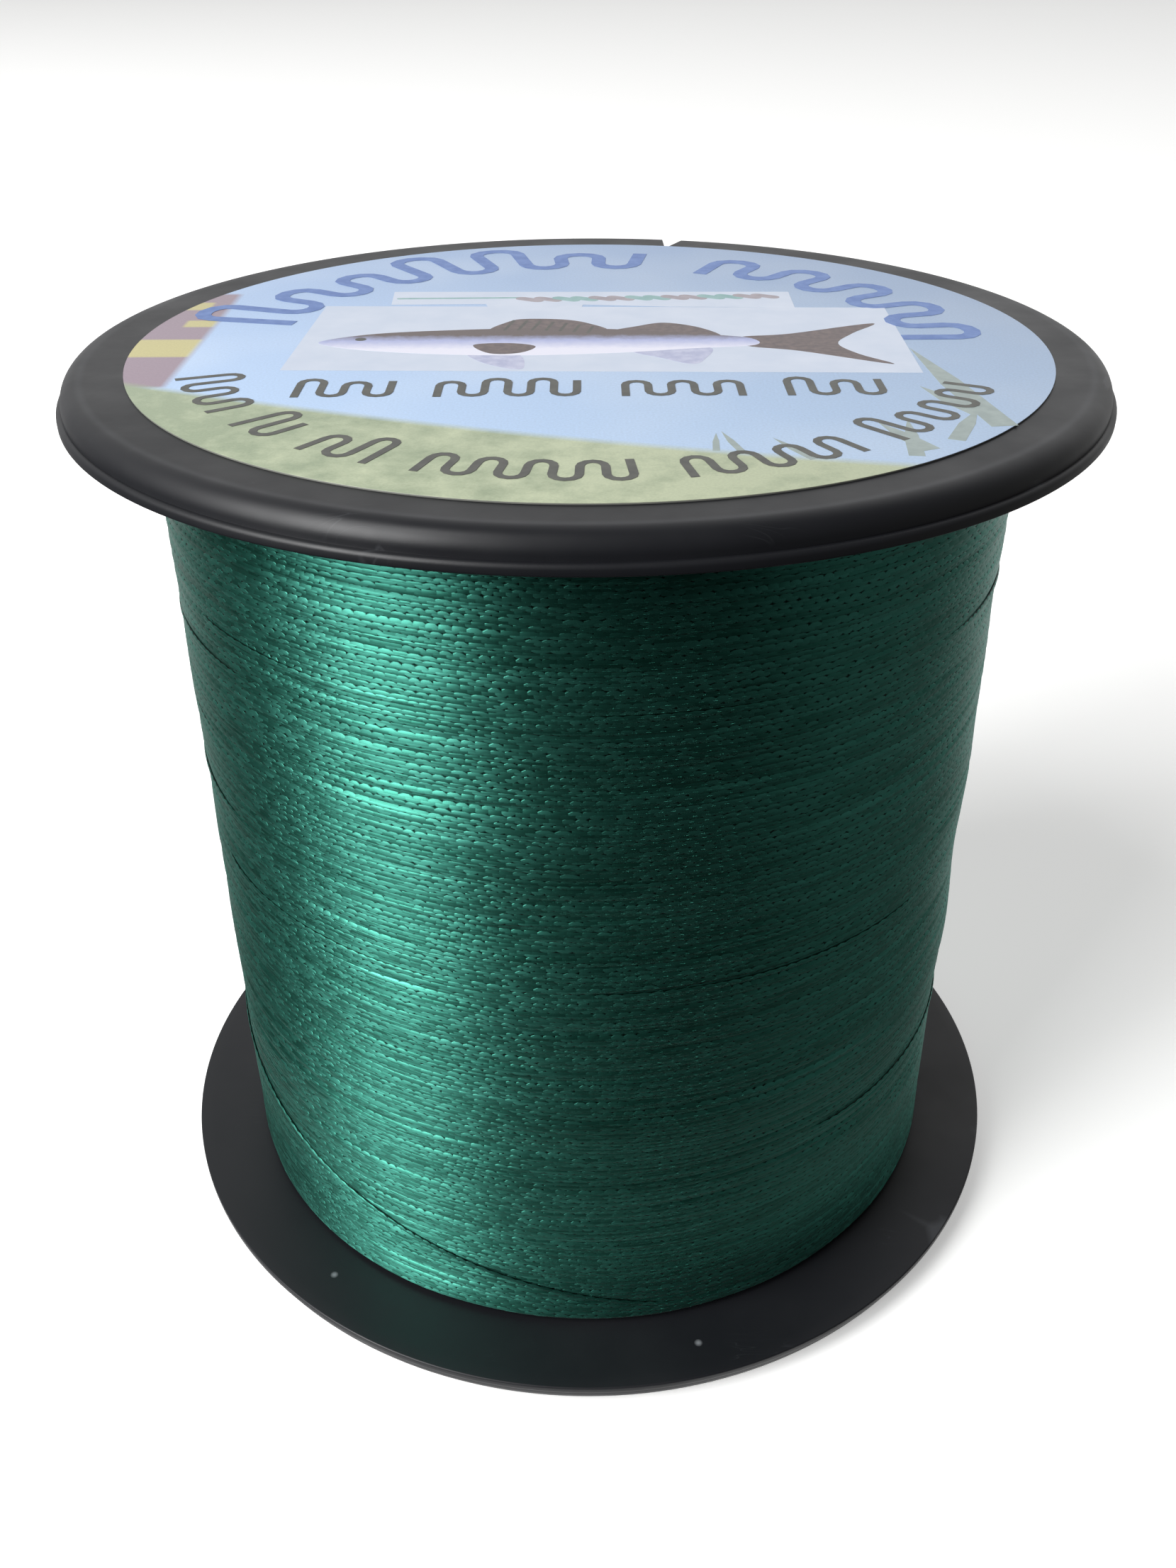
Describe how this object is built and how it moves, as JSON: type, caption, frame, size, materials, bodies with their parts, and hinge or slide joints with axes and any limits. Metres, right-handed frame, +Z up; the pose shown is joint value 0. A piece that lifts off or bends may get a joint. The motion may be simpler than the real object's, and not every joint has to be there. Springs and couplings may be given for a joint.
{
  "type": "fishing line spool",
  "caption": "Bulk spool wound with braided fishing line between two lipped flanges, with a line notch in the rim, a round paper label and a bore for a spindle.",
  "frame": {"origin": "centre of the face that the spool rests on, on the winding axis", "axes": "+Z up along the winding axis to the labelled flange, -Y towards the foot of the printed label"},
  "size_m": [0.07, 0.07, 0.0675],
  "materials": {
    "flange_plastic": "black moulded polystyrene, satin with fine scuffs",
    "core_plastic": "black extruded polystyrene",
    "starter_tape": "matt masking tape",
    "braided_line": "deep green braided polyethylene fibre with a soft sheen",
    "label_paper": "satin printed sticker paper"
  },
  "bodies": {
    "root": {"upper_flange": "flange_plastic", "lower_flange": "flange_plastic", "core_tube": "core_plastic", "arbor_tube": "core_plastic", "starter_tape": "starter_tape", "line_start": "braided_line", "line_inner_layers": "braided_line", "line_outer_layers": "braided_line", "line_last_turn": "braided_line", "paper_label": "label_paper"}
  },
  "joints": []
}
